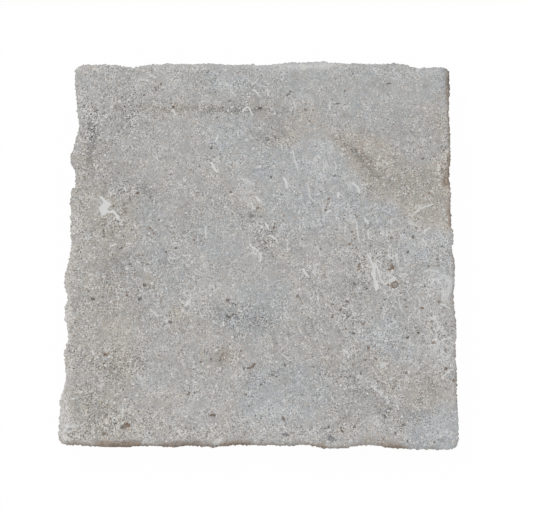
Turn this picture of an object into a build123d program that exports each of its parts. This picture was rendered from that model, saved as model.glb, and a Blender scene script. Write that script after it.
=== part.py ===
from build123d import *
import os
from math import hypot, sqrt

# A tumbled limestone floor tile: one piece of stone, sawn flat on its bed and its face,
# cropped to a wavy outline along its four sides and worn round on every edge by tumbling.
# It lies on its bed. +X is east, +Y is north, +Z is up, and sizes are in millimetres.
# The origin is on the level of the bed, under the centre of the bounding box.

# Driving dimensions
SIDE = 200.0
THICKNESS = 20.0
FACE_ARRIS = 2.2  # radius worn on the edge between the face and a side
BED_ARRIS = 1.2  # radius worn on the edge between the bed and a side
BED_INSET = 0.9  # how far the bed's edge stands inside the face's edge
BED_WAVE = 0.6  # share of the face's waves that the bed's edge follows
RUN = 4  # a side's outline is a chain of splines, each over this many gaps between stations

# Each side's stations: (distance along it from its middle, how far it stands outside the square)
SOUTH = [
    (-91, 0.5), (-80, 1.4), (-64, 1.4), (-57, 0.7), (-45, 1.2), (-35, 0.6), (-29, 0.9), (-20, 1.0),
    (-12, -0.1), (-4, -0.3), (0, 0.0), (5, -0.5), (13, 0.0), (25, -0.5), (31, 0.6), (46, 0.4),
    (55, -0.8), (65, 0.4), (75, 0.9), (90, 1.1),
]
EAST = [
    (-91, 0.1), (-80, -0.1), (-68, -0.3), (-61, 0.0), (-54, -0.7), (-47, -0.1), (-35, -0.2),
    (-22, -0.7), (-13, 0.1), (-5, -0.1), (0, -1.0), (7, 0.1), (13, -1.2), (24, -1.2), (31, -0.9),
    (38, -1.6), (46, -0.9), (55, -0.5), (65, -0.7), (75, -1.0), (84, -0.3), (92, -0.2),
]
NORTH = [
    (-91, 0.6), (-84, 0.9), (-78, 0.3), (-71, -0.9), (-64, -0.2), (-50, 1.1), (-36, 1.0), (-25, 1.0),
    (-18, 0.4), (-6, 0.6), (0, 0.2), (10, 1.3), (20, 2.2), (28, 2.8), (35, 2.1), (44, 1.0),
    (54, 1.2), (61, 0.6), (70, 1.2), (75, 0.5), (80, -1.2), (91, -1.4),
]
WEST = [
    (-90, 1.0), (-77, 0.5), (-69, -1.6), (-63, -1.4), (-57, -0.3), (-48, -1.7), (-40, -1.0),
    (-33, 0.4), (-27, -1.0), (-21, 0.8), (-12, 1.1), (-6, -0.7), (1, -1.5), (12, -0.7), (20, -0.4),
    (26, 0.4), (33, -2.2), (42, -1.5), (47, 1.2), (55, -0.5), (64, -2.8), (72, -2.1), (80, -1.1),
    (91, 0.6),
]


def backwards(side):
    """A side's stations counted from its other end."""
    return [(-along, out) for along, out in reversed(side)]


# The sides counter-clockwise round the tile: (stations in that order, worn radius of the corner after it)
SIDES = [(SOUTH, 5.0), (EAST, 4.0), (backwards(NORTH), 5.0), (backwards(WEST), 4.5)]

# Spalls knocked out of the face's edge, each where a ball touches it:
# (side counted as above, distance along it counter-clockwise, length of edge bitten away, ball's radius)
SPALLS = [
    (0, -66.0, 23.0, 27.0),
    (0, -34.0, 24.0, 32.0),
    (0, -11.5, 10.5, 12.0),
    (0, 33.0, 10.0, 18.0),
    (0, 78.0, 18.0, 26.0),
    (1, -1.0, 12.0, 18.0),
    (1, 31.0, 8.0, 14.0),
    (1, 83.0, 20.0, 26.0),
    (2, -86.0, 12.0, 20.0),
    (2, -24.0, 24.0, 30.0),
    (2, 70.0, 13.0, 22.0),
    (3, -64.0, 13.0, 22.0),
    (3, 48.0, 14.0, 22.0),
    (3, 86.0, 22.0, 28.0),
]


def outline_face(level, inset, wave):
    """The stone's flat section at one level: four wavy sides joined by round corners."""
    sides = [[(along, SIDE / 2 - inset + wave * out) for along, out in side] for side, radius in SIDES]
    edges = []
    for number, side in enumerate(sides):
        radius_before = SIDES[number - 1][1]
        radius_after = SIDES[number][1]
        reach_before = sides[number - 1][-1][1]
        reach_after = sides[(number + 1) % len(sides)][0][1]
        # Each side is drawn as the south side and then turned into its place
        points = [(along, -out) for along, out in side]
        points[0] = (radius_before - reach_before, points[0][1])
        points[-1] = (reach_after - radius_after, points[-1][1])
        here = tangent_splines(points)
        centre = (points[-1][0], points[-1][1] + radius_after)
        here.append(CenterArc(centre, radius_after, 270, 90))
        edges += [Pos(0, 0, level) * Rot(0, 0, 90 * number) * edge for edge in here]
    return make_face(edges)


def tangent_splines(points):
    """A smooth line through the points, level at both ends, as a chain of short splines."""
    last = len(points) - 1
    tangents = [(1, 0)]
    for (x0, y0), (x1, y1) in zip(points, points[2:]):
        length = hypot(x1 - x0, y1 - y0)
        tangents.append(((x1 - x0) / length, (y1 - y0) / length))
    tangents.append((1, 0))
    cuts = list(range(0, last - RUN // 2, RUN)) + [last]
    return [Spline(*points[i : j + 1], tangents=(tangents[i], tangents[j])) for i, j in zip(cuts, cuts[1:])]


def reach_at(side, along):
    """How far a side stands outside the square at one place along it."""
    for (s0, d0), (s1, d1) in zip(side, side[1:]):
        if s0 <= along <= s1:
            return d0 + (d1 - d0) * (along - s0) / (s1 - s0)
    return 0.0


def spall(number, along, length, radius):
    """The ball that scoops one spall out of the sharp edge of the face, 45 degrees above its side."""
    away = sqrt(radius**2 - (length / 2) ** 2) * sqrt(0.5)
    out = SIDE / 2 + reach_at(SIDES[number][0], along) + away
    return Rot(0, 0, 90 * number) * Pos(along, -out, THICKNESS + away) * Sphere(radius)


def limestone_tile():
    bed = outline_face(0.0, BED_INSET, BED_WAVE)
    face = outline_face(THICKNESS, 0.0, 1.0)
    stone = loft([bed, face], ruled=True)
    stone = fillet(stone.edges().group_by(Axis.Z)[-1], FACE_ARRIS)
    stone = fillet(stone.edges().group_by(Axis.Z)[0], BED_ARRIS)
    stone -= [spall(*one) for one in SPALLS]
    middle = stone.bounding_box().center()
    return Pos(-middle.X, -middle.Y, 0) * stone


os.makedirs("parts", exist_ok=True)
tile = limestone_tile()
export_step(tile, "parts/limestone_tile.step")
print("volume", round(tile.volume), "mm3, size", tile.bounding_box().size)
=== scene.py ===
import math
from types import SimpleNamespace

import bpy
import numpy as np
from mathutils import Matrix, Vector, noise
from mathutils.bvhtree import BVHTree


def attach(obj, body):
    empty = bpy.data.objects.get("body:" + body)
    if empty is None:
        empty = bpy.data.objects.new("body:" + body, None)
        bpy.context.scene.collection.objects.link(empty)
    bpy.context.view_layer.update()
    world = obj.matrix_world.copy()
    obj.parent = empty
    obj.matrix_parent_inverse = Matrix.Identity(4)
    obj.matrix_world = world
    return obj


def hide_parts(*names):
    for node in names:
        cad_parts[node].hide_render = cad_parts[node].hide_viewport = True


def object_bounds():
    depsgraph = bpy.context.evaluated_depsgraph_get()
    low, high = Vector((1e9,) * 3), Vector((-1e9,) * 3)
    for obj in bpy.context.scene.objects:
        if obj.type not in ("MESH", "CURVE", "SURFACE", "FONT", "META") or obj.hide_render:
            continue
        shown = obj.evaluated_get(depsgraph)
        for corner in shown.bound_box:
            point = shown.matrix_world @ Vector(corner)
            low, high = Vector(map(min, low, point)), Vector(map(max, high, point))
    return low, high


# The look of a tumbled limestone tile: a fine mesh laid over the solid, with the stone's own
# relief, pits, fossil shells, grain and stains. Lengths are in millimetres until a mesh or a
# lamp is made. +X is east, +Y is north, and the photograph looks down on the face.

MM = 0.001
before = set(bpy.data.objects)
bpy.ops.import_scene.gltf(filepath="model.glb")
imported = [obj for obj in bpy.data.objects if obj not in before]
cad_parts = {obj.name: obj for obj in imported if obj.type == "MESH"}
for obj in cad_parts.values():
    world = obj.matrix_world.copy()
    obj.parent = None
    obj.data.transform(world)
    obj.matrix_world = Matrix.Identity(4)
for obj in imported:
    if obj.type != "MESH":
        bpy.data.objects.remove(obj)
cad_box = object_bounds()
BOX_LOW = np.array(cad_box[0]) / MM
BOX_HIGH = np.array(cad_box[1]) / MM
THICKNESS = 20.0

# The photograph's frame and its camera, as fitted to the outline of the tile's nominal square
IMAGE_WIDTH, IMAGE_HEIGHT = 533, 511
LENS = 67.5
SENSOR = 36.0
SQUARE_MIDDLE = (0.66, -0.48)  # the nominal square's middle, as seen from the frame's origin
AIM = (3.32, -3.25, 17.0)
DISTANCE = 517.9
TILT, YAW, ROLL = math.radians(10.3), math.radians(9.53), math.radians(0.51)


def camera_axes():
    """The camera's place and its right, up and backward directions."""
    back = np.array([math.sin(YAW) * math.sin(TILT), -math.cos(YAW) * math.sin(TILT), math.cos(TILT)])
    right = np.cross([0, 1, 0], back)
    right /= np.linalg.norm(right)
    up = np.cross(back, right)
    rolled_right = right * math.cos(ROLL) + up * math.sin(ROLL)
    rolled_up = up * math.cos(ROLL) - right * math.sin(ROLL)
    place = np.array(AIM) + (*SQUARE_MIDDLE, 0) + DISTANCE * back
    return place, rolled_right, rolled_up, back


def on_face(points):
    """Where the photograph's pixels, given as (x, y), meet the level of the tile's face."""
    place, right, up, back = camera_axes()
    focal = LENS / SENSOR * IMAGE_WIDTH
    across = (np.array(points, float) - (IMAGE_WIDTH / 2, IMAGE_HEIGHT / 2)) / focal
    rays = across[:, :1] * right - across[:, 1:] * up - back
    reach = (THICKNESS - place[2]) / rays[:, 2]
    return (place + rays * reach[:, None])[:, :2]


PIXEL = 0.53  # one pixel of the photograph on the face

# Features read off the photograph, in its pixels.
# Fossil shells: (width, paleness, line from end to end)
SHELLS = [
    (2.4, 0.9, [(99.4, 198), (101.4, 197.2), (103.6, 200)]),
    (1.3, 0.8, [(119.4, 222), (121.4, 225.2), (123.4, 223.6)]), (1.6, 0.7, [(110, 221.8), (112.4, 220.2)]),
    (1.6, 0.6, [(109.3, 246.7), (117, 243.5)]), (1.6, 0.6, [(125.3, 243.4), (131, 243.3)]),
    (3.6, 0.5, [(96, 121.5), (96.5, 124)]), (1.7, 0.7, [(367.7, 254.3), (370.5, 259.5), (372.8, 264.9)]),
    (2, 0.9, [(371, 261), (372.8, 265), (373.8, 269)]),
    (1.5, 0.45, [(375.9, 264), (378.5, 272), (381, 279.5), (384.9, 284)]),
    (2.6, 0.48, [(211.4, 161.5), (214, 168), (217.7, 172.8)]),
    (1.8, 0.4, [(218.4, 134), (217, 138), (215, 142.6)]),
    (1.8, 0.5, [(242, 112), (245, 108.5), (248, 106)]), (1.8, 0.45, [(248, 106), (250.5, 111), (253, 116)]),
    (2, 0.4, [(205.7, 225), (205.6, 232), (206.5, 239)]), (1.6, 0.45, [(254, 89), (257, 93), (260.5, 97)]),
    (1.5, 0.35, [(251, 86), (254, 83), (258.4, 79)]),
    (1.5, 0.5, [(249, 244), (254, 248), (258.6, 252), (261, 257), (259.6, 262.6)]),
    (1.8, 0.35, [(177, 182), (180, 184.5), (183, 186)]), (1.3, 0.6, [(124, 187.5), (126.5, 192)]),
    (1.4, 0.4, [(179, 238), (182, 243)]), (1.6, 0.4, [(330.7, 101), (329.6, 106), (330, 111)]),
    (2, 0.55, [(283, 177), (285.6, 181), (287, 188)]), (1.4, 0.4, [(292.8, 150), (295, 161), (298.4, 171)]),
    (1.5, 0.35, [(306.8, 182), (308.6, 188), (310.3, 197), (316, 202)]),
    (1.4, 0.35, [(297.7, 198.7), (300.5, 198), (302, 193.8)]),
    (1.5, 0.35, [(334, 161), (336, 165), (335.6, 171)]),
    (2.1, 0.5, [(351.7, 182.6), (356, 185.5), (358.6, 189), (359.4, 193)]),
    (1.7, 0.5, [(364.4, 217.7), (366.5, 221), (369.3, 224)]),
    (1.6, 0.4, [(411.4, 217), (416, 211.5), (421, 208.5), (427, 206), (433.8, 204.3)]),
    (1.7, 0.45, [(424, 234), (426.5, 230), (431, 227.5)]),
    (1.9, 0.4, [(266.6, 237), (269.5, 235.4), (272.4, 236), (275.5, 239), (277.4, 243)]),
    (1.5, 0.35, [(354.5, 218), (357, 226), (357.6, 234), (359.6, 243)]),
    (1.1, 0.32, [(388, 247), (388.8, 253), (389.6, 260)]),
    (1.1, 0.3, [(392, 246), (392.8, 252), (393, 258)]), (1.1, 0.3, [(396.4, 252), (397, 258), (399, 265)]),
    (1.2, 0.35, [(401.7, 250), (404.6, 257), (405.3, 263)]),
    (1.3, 0.35, [(322, 199), (323.4, 206), (322.6, 212)]), (1.3, 0.3, [(324, 214), (324.2, 222)]),
    (1.3, 0.3, [(312, 222), (316, 227)]), (1.3, 0.3, [(272, 207), (272.6, 213)]),
    (1.5, 0.35, [(318, 400), (321.4, 396)]), (1.6, 0.4, [(376, 260), (379, 261.5), (382, 264)]),
    (1.5, 0.4, [(401.5, 273.5), (405, 274), (408.5, 275.7)]),
    (1.5, 0.35, [(416, 295), (418.6, 299), (420.6, 304)]),
    (1.6, 0.4, [(432.7, 315), (436.6, 321), (439.7, 329)]),
    (4.6, 0.28, [(440, 276), (445.5, 277), (449.5, 282), (449.5, 289), (446, 296), (442.5, 301)]),
    (1.5, 0.5, [(388.7, 281.3), (395.5, 276.5)]), (1.4, 0.4, [(389.4, 283.6), (396.4, 279)]),
    (1.8, 0.4, [(398, 295.5), (403, 294.5)]), (1.4, 0.35, [(424, 272), (432, 270), (440, 273)]),
    (1.4, 0.35, [(417, 283), (423, 285), (428, 289)]),
    (1.5, 0.35, [(430, 278), (438, 281), (443, 288), (442, 296)]),
    (1.5, 0.4, [(368, 231), (369, 238), (372, 239.5)]), (1.5, 0.4, [(382, 230), (383, 237)]),
    (1.5, 0.4, [(386.5, 230), (387.5, 237)]), (1.7, 0.4, [(439.7, 304), (445, 305.5), (450.6, 309.5)]),
    (2.6, 0.42, [(303, 268), (305, 273), (309, 277)]), (1.5, 0.35, [(297.7, 327), (300, 330), (302, 334)]),
    (1.3, 0.25, [(371, 366), (375.5, 373), (380.5, 380)]), (2.2, 0.3, [(396.6, 404), (398.7, 410)]),
    (1.5, 0.3, [(432.4, 345.4), (441, 340.5), (446, 339), (452, 335.6)]),
    (1.6, 0.6, [(223.7, 321.5), (222.8, 326.5)]), (1.8, 0.4, [(123, 407), (122.3, 418)]),
    (2.4, 0.45, [(91.8, 350), (94.4, 355)]), (1.6, 0.35, [(186.5, 110.5), (184, 113)]),
    (1.8, 0.45, [(172, 108), (174, 112.5), (176, 116)]), (2, 0.7, [(266, 223), (268.4, 229)]),
    (1.6, 0.35, [(225, 82), (229, 87), (236, 97)]), (1.4, 0.35, [(294, 103), (295.6, 110)]),
    (1.4, 0.22, [(361, 101), (366, 106.5), (371, 110)]), (1.5, 0.4, [(372.5, 67), (376.5, 72.5)]),
    (1.8, 0.55, [(338.4, 191.5), (337.8, 198)]), (1.3, 0.35, [(326, 160), (328.6, 168)]),
    (1.3, 0.35, [(324, 161), (323.6, 172)]), (1.3, 0.3, [(343, 178), (347.6, 184), (348.8, 191)]),
    (1.6, 0.5, [(326, 213.4), (328.6, 211), (332, 210.6)]), (1.4, 0.4, [(237.6, 130), (238.8, 137)]),
    (1.3, 0.3, [(250, 133), (253, 140)]), (2, 0.6, [(281, 146), (282.4, 147.6)]),
    (2, 0.5, [(286, 149.6), (288, 150)]), (3, 0.2, [(278, 159), (280, 157.4)]),
    (1.9, 0.6, [(233, 179.3), (234.6, 178.8)]), (1.3, 0.4, [(250, 200), (252, 204), (254, 209.6)]),
    (1.4, 0.35, [(260, 198), (262, 203)]), (1.5, 0.35, [(316, 246), (319, 251), (320.4, 257)]),
    (2, 0.3, [(314, 268), (317, 264), (321, 263)]), (2.2, 0.4, [(421.6, 238), (425.4, 243.4)]),
    (1.5, 0.3, [(409, 224), (417, 225.5), (421, 231)]), (1.6, 0.3, [(383, 306), (384.4, 313), (383, 320)]),
    (2, 0.35, [(342, 350), (347, 352), (350, 357)]),
    (2.2, 0.2, [(372, 386), (378, 391), (384, 396), (389, 402)]),
    (1.6, 0.35, [(281, 353), (286, 357), (290, 361)]), (1.5, 0.35, [(284, 313), (288, 320)]),
    (1.7, 0.35, [(331, 396), (334.5, 402)]), (1.5, 0.3, [(385, 327), (389, 325), (397, 321)]),
    (1.3, 0.18, [(385, 341), (395, 339.5)]), (1.7, 0.45, [(441, 378), (448, 372), (452, 369)]),
    (1.7, 0.35, [(150, 310), (155, 313), (158.5, 317)]), (2.2, 0.15, [(246, 414), (252, 421)]),
    (1.5, 0.35, [(168, 257), (175, 258.5), (180, 256)]), (1.5, 0.3, [(240, 178), (248, 181), (252, 184)]),
    (2, 0.6, [(256, 196), (259.5, 201.6)]),
]

# White flakes: (paleness, outline)
FLAKES = [
    (1, [(103.1, 197.3), (104.6, 199.5), (108, 200.9), (112, 204.4), (108.4, 206.7), (106.7, 210.7),
        (111.1, 210.7), (113.4, 208.8), (115.6, 212), (119.7, 216.4), (119.6, 218.7), (118.2, 221.5),
        (115.6, 217.3), (115.1, 215.1), (113.3, 212.9), (110.7, 212.4), (105.6, 213.4), (103.6, 215.6),
        (100.9, 214.5), (99.1, 209.3), (99.6, 206.7), (103.1, 202.2), (101.6, 199.4)]),
    (0.95, [(372.6, 266), (373.8, 266.5), (375.4, 271.5), (376, 275), (375.8, 279), (377.4, 282.5),
        (379, 286.5), (378.4, 290.4), (375.4, 291), (374.4, 287.5), (374.2, 281), (371.8, 275.8),
        (370.6, 272.4), (372.6, 271)]),
    (0.55, [(281.6, 223.5), (283.6, 225), (282.6, 228), (280.2, 227.4)]),
    (0.8, [(184, 304.6), (187.6, 301.4), (190.4, 296.6), (191, 301), (190, 304.4), (185, 306.6)]),
    (0.45, [(213, 440.5), (217, 438.5), (221.5, 439.5), (221, 443), (216, 444.5), (213, 443.5)]),
]

# Pits and dark spots: (x, y, half length, half width, brownness, or below 0 blueness, depth of
# colour, and turn in degrees if any)
PITS = [
    (144, 95, 1.2, 1, 0.4, 1), (138, 193, 2, 1.5, 0.6, 0.7, 30), (171, 174.5, 1.6, 1.2, 0.3, 0.7),
    (154, 233, 1.7, 1.2, 1, 0.7, -30), (150, 228, 1.3, 1, 0.8, 0.8), (176, 248, 1.4, 1.1, 0, 1),
    (166, 252, 1.3, 1, 0.5, 0.9), (159, 219.5, 1.2, 0.9, 0.8, 0.9), (161, 84, 1, 2, 0.4, 0.7),
    (155, 87, 1.5, 1.1, 0.8, 0.7, -20), (156, 90, 1.1, 1, 0.6, 0.7), (229.6, 101, 2.2, 0.9, 0.8, 0.8, 10),
    (211, 148, 1.9, 1.4, 0.1, 0.7), (208.6, 71, 1.6, 1.5, 0.6, 0.6), (231, 192, 1.9, 1.2, 0.9, 0.7),
    (338, 103.7, 2.2, 0.9, 0.3, 0.9, 10), (388.9, 83.4, 2.3, 0.8, 0.3, 0.8, 10), (271, 177, 1.2, 1.1, 0, 1),
    (274, 227.5, 1.4, 1.3, 0.6, 1), (274.6, 222.6, 0.9, 0.8, 1, 0.6), (287, 95, 1.2, 1, 0.2, 0.9),
    (422.6, 158.7, 2.2, 1.1, 0.5, 0.8, 30), (329, 199, 1.8, 1.1, 0.5, 0.8, 40),
    (326, 210, 1.6, 1, 0.6, 0.8, 30), (328, 204, 1.2, 1, 0.7, 0.6), (335, 175.6, 1.9, 1.1, 0.2, 0.7, 30),
    (310, 121, 2, 0.9, 0.8, 0.7, 20), (306, 109.6, 2, 1, 0.7, 0.7), (349.6, 244, 1.7, 1.2, 0.9, 0.8),
    (352, 232, 1.3, 1.2, 0.7, 0.8), (408, 252, 1.9, 1.2, 0.3, 0.9, 60), (413, 237, 1.6, 1.8, 0.6, 0.8),
    (345, 91, 1.3, 1.1, 0.5, 0.8), (93, 299, 2.3, 2, 0.3, 0.85, 15), (105.4, 354.7, 2.6, 1.4, 0.9, 0.8, 15),
    (108.6, 353.4, 1.6, 0.8, 1, 0.6, 30), (130, 264, 1.9, 1.2, 0.8, 0.6),
    (147.5, 264, 1.7, 1.2, 0.9, 0.7, -20), (127, 295, 1.3, 2, 0.8, 0.7), (140, 298.6, 2.4, 2.4, -0.2, 0.65),
    (170, 322, 2.3, 1.4, 0.1, 0.7, -30), (145, 285, 2, 1.6, 0.4, 0.7), (229.6, 317, 1.9, 1.2, 0.3, 1, -15),
    (233.5, 314, 1, 0.9, 0.1, 0.9), (228, 300, 1.7, 1.4, 0.1, 0.7), (250, 325.5, 1.1, 0.9, 0.2, 0.9),
    (200.6, 362, 1.2, 1.2, 0.7, 0.9), (211, 359, 1.1, 0.8, 0.5, 0.9), (254, 364.6, 2.6, 1.3, 0.7, 0.9, 35),
    (250, 368, 2.2, 1.3, 0.7, 0.9, 20), (244, 368, 1.3, 1.2, 0.6, 0.7),
    (188.5, 394, 2.3, 1.3, 0.6, 0.7, 50), (212, 415, 3.8, 1.4, 0.6, 0.85, 3),
    (214.6, 415.4, 1.4, 1.2, 0.2, 1), (127.5, 425, 3.4, 2.4, 0.75, 0.9, -20),
    (124, 427.5, 3, 1.8, 0.8, 0.6, -10), (104, 434, 2.6, 1.4, 0.9, 0.8, 10),
    (106.5, 415, 2.2, 1.5, 0.6, 0.7, 20), (170, 427, 1.1, 1.8, 1, 0.5),
    (393.2, 267.4, 2.6, 1.3, 0.9, 0.9, -55), (389.4, 269.6, 2.8, 1, 0.9, 0.9, 5),
    (391.4, 265.2, 2, 0.8, 0.8, 0.8, 10), (394.9, 282.3, 2.5, 0.9, 0.9, 0.9, 5),
    (394.3, 287.2, 2.2, 0.8, 0.9, 0.9), (391.2, 285.4, 0.6, 1.4, 0.8, 0.7),
    (397.8, 284.2, 0.7, 1.4, 0.9, 0.8), (388.7, 285, 1.1, 1.1, 0.7, 1), (385, 300, 1.1, 1, 0.2, 0.9),
    (422.5, 308, 1.8, 1.1, 0.8, 0.8), (418.7, 333, 1.3, 1.2, 0.3, 1), (407.5, 337.5, 1.8, 0.9, 0.3, 1, 5),
    (363.8, 323.5, 2.2, 1.7, 0.8, 0.7, 40), (353.8, 333.5, 1.6, 1.1, 0.2, 1, -15),
    (347.5, 301.5, 1.5, 1.1, 0.5, 1, -15), (346, 329, 1.2, 1.1, 0.7, 0.9),
    (332.6, 317, 1.4, 1.1, 0.8, 0.8, -20), (297.7, 296, 1.7, 1.5, 0.8, 0.7), (439, 302, 1.8, 1.4, 0.9, 0.6),
    (437.5, 259, 2, 1.1, 0.7, 0.8, 20), (438.4, 265.5, 1.8, 1, 0.6, 0.6),
    (428.5, 266.5, 1.3, 1.2, 0.6, 0.7), (425, 286, 1, 0.9, 0.1, 1), (283.6, 419, 1.3, 2.6, 0.8, 0.9, 25),
    (368.6, 348, 2.2, 1.6, 0.7, 0.7, 10), (405.7, 373, 1.5, 1.3, 0.8, 0.8),
    (434, 342.6, 2.4, 1.5, 0.8, 0.6), (445.5, 350.5, 1.2, 1.2, 0.5, 0.8), (446, 369, 2, 1.6, 0.8, 0.6, 30),
    (454, 381, 1.8, 1.3, 0.8, 0.7), (361, 373, 1.2, 1.5, 0.3, 0.8), (365.5, 360, 1.8, 1.2, 0.7, 0.7),
    (376, 359, 1.5, 1.8, 0.7, 0.7), (342.5, 431.5, 1.4, 0.9, 0.4, 1, -30),
    (354.5, 427, 1.9, 1.5, 0.5, 0.8, 50), (329, 427, 1.1, 1.6, 0.3, 0.8, 20),
    (341, 428, 0.8, 1.2, 0.7, 0.8), (403.6, 425, 2, 1.5, 0.4, 0.7, 30), (385, 417, 1.1, 2.4, 0, 0.7, 10),
    (390.5, 408.5, 1.6, 1, 0, 0.5), (395.5, 433, 1.1, 1.2, 0.3, 0.9), (314, 367, 1.1, 1.1, 0.6, 0.8),
    (285, 365, 1.7, 1.4, 0.1, 0.7, 20), (276.5, 376.5, 1.2, 0.9, 0.6, 0.9), (261, 384.5, 1.1, 1, 0.1, 0.9),
    (355, 284, 2, 1.8, 0.3, 0.6), (367, 288.5, 1, 1, 0, 0.9), (245.7, 395, 1.2, 1, 0.3, 0.8),
    (260, 108, 2.2, 1.6, 0.1, 0.9, -30), (217, 117.5, 1.4, 1, 0.1, 0.8), (268, 139, 2.6, 2.2, 0, 0.4),
    (290.5, 91.5, 1.5, 1.5, 0.1, 0.6), (258, 208, 1.6, 1.4, 0.8, 0.7), (173, 107, 1.3, 1.6, 0.3, 0.9),
    (127, 181.5, 1.2, 0.7, 0.3, 0.8), (122, 97, 1.1, 1.1, 0.6, 0.8), (118.6, 131, 1.5, 1.2, 0.3, 0.7, 30),
    (250.6, 215.6, 3, 1.8, -0.4, 0.6), (261, 216.5, 4, 1.2, -0.2, 0.45, -5), (283, 221, 2, 1.2, -0.5, 0.5),
    (282, 194.4, 2, 1.4, -0.3, 0.5), (285.3, 434.6, 4.2, 1.6, -1, 0.8, -8),
    (331.5, 438.7, 4, 2.6, -1, 0.8, -25), (442, 441, 2.6, 1.8, -1, 0.5),
    (354.7, 238.5, 1.4, 0.8, 0.8, 0.7, -40), (356, 247.5, 1, 1, 0.8, 0.6),
    (359.5, 264.5, 1.9, 1.3, 0.8, 0.8, 40), (358, 269.5, 1.5, 1.1, 0.7, 0.7),
    (363.5, 273, 1.6, 1, 0.8, 0.7), (364.3, 257.3, 1, 0.9, 0.8, 0.7), (371.6, 246, 1.1, 1, 0.3, 0.7),
    (391.5, 238, 2.1, 0.9, 0.8, 0.7, -10), (381.6, 308.4, 1.5, 1.1, -1, 0.8),
    (340.3, 310, 1.2, 1, 0.4, 0.9), (405.3, 300, 1.2, 1, 0.6, 0.7), (395.3, 315.3, 1, 0.9, 0.8, 0.7),
    (348, 316.7, 1.1, 1, 0.6, 0.8), (372.7, 317.3, 1.1, 0.9, 0.6, 0.7), (415.3, 327.5, 1.6, 1.1, 0.8, 0.6),
    (432, 321, 1, 0.9, 0.5, 0.7), (432, 328, 1.1, 1, 0.9, 0.8), (403.3, 348, 1.6, 1.1, 0.8, 0.6),
    (343.5, 341, 1.8, 1.6, 0.5, 0.5), (124, 205, 1.6, 1.2, 0.5, 0.6), (125.4, 212, 1.8, 1.1, 0.5, 0.7, -20),
    (103.6, 231, 1, 2.6, 0.6, 0.7), (103.7, 236.6, 1.3, 1.1, 0.3, 0.8),
    (121.3, 248.4, 1.8, 1.2, 0.5, 0.7, 30), (104, 183.5, 1.6, 1, 0.3, 0.6, 20),
    (130, 199, 1, 2.2, 0.6, 0.6, 20), (219.7, 360.5, 1.2, 1, 0.4, 0.8), (222.2, 355, 1.4, 0.8, 0.9, 0.6),
    (217.5, 347.5, 1.6, 0.8, 0.9, 0.5), (230.5, 361.5, 1.2, 0.8, 0.9, 0.6), (241, 351, 1, 0.9, 0.9, 0.7),
    (242.7, 334.8, 1.1, 0.9, 0.9, 0.8), (276.8, 343.5, 1.2, 1, -0.8, 0.7),
    (283.5, 351.2, 0.9, 0.8, 0.7, 0.8), (272.5, 373.8, 1.3, 0.9, 0.9, 0.6, -30),
    (272, 365, 1.4, 0.7, 0.9, 0.6), (265.5, 327.5, 1, 0.9, 0.9, 0.8), (279.5, 370, 1.3, 0.9, -0.7, 0.6),
    (357.3, 216.8, 1, 0.9, 0.9, 0.7), (405, 217.3, 1.1, 0.9, 0.9, 0.6), (338.8, 331.6, 1.6, 1.4, -0.9, 0.6),
    (321.7, 429, 1, 0.9, 0.5, 0.7), (154, 288.6, 1.6, 0.9, 0.8, 0.7, -20),
    (142, 361.5, 1.3, 0.8, 0.8, 0.6, -20),
]

# Regions of warmer or cooler stone: (steps of red over blue, softness of the edge in pixels,
# outline)
WARM_REGIONS = [
    (5.8, 5, [(330, 136), (352, 131), (376, 134), (396, 150), (418, 166), (440, 160), (462, 150), (464, 232),
        (440, 230), (420, 224), (402, 215), (393, 199), (372, 196), (357, 178), (343, 155)]),
    (3.6, 14, [(50, 150), (100, 150), (112, 190), (136, 200), (138, 240), (118, 262), (130, 300), (138, 330),
        (140, 370), (128, 400), (150, 455), (45, 455)]),
    (-4.6, 6, [(262, 152), (298, 139), (330, 139), (345, 160), (358, 190), (372, 203), (394, 205),
        (404, 220), (385, 228), (345, 222), (312, 234), (290, 240), (272, 226), (265, 200), (258, 172)]),
    (-4.2, 9, [(200, 112), (252, 112), (262, 150), (262, 182), (240, 190), (222, 160), (200, 140)]),
    (-3, 8, [(200, 55), (465, 55), (465, 98), (420, 102), (400, 122), (370, 128), (345, 118), (325, 112),
        (300, 100), (250, 95), (205, 88)]),
    (-3.4, 5, [(198, 222), (215, 213), (236, 220), (244, 240), (240, 256), (215, 260), (197, 250),
        (190, 235)]),
    (-4.5, 7, [(238, 285), (262, 278), (288, 284), (292, 305), (282, 330), (256, 336), (234, 330),
        (214, 322), (226, 303)]),
    (-4.8, 8, [(248, 368), (280, 362), (312, 366), (330, 380), (332, 405), (312, 418), (275, 424),
        (250, 424), (238, 405), (242, 385)]),
    (-5.2, 6, [(408, 410), (440, 405), (470, 402), (470, 460), (430, 458), (404, 440)]),
    (-3.6, 8, [(400, 228), (430, 230), (470, 236), (470, 292), (440, 295), (415, 285), (398, 270),
        (392, 250)]),
    (-4.6, 7, [(352, 335), (372, 322), (402, 320), (410, 335), (420, 355), (412, 366), (395, 360),
        (370, 345)]),
    (-3, 8, [(140, 200), (165, 205), (170, 240), (186, 262), (192, 285), (170, 295), (150, 270),
        (140, 240)]),
]

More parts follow.
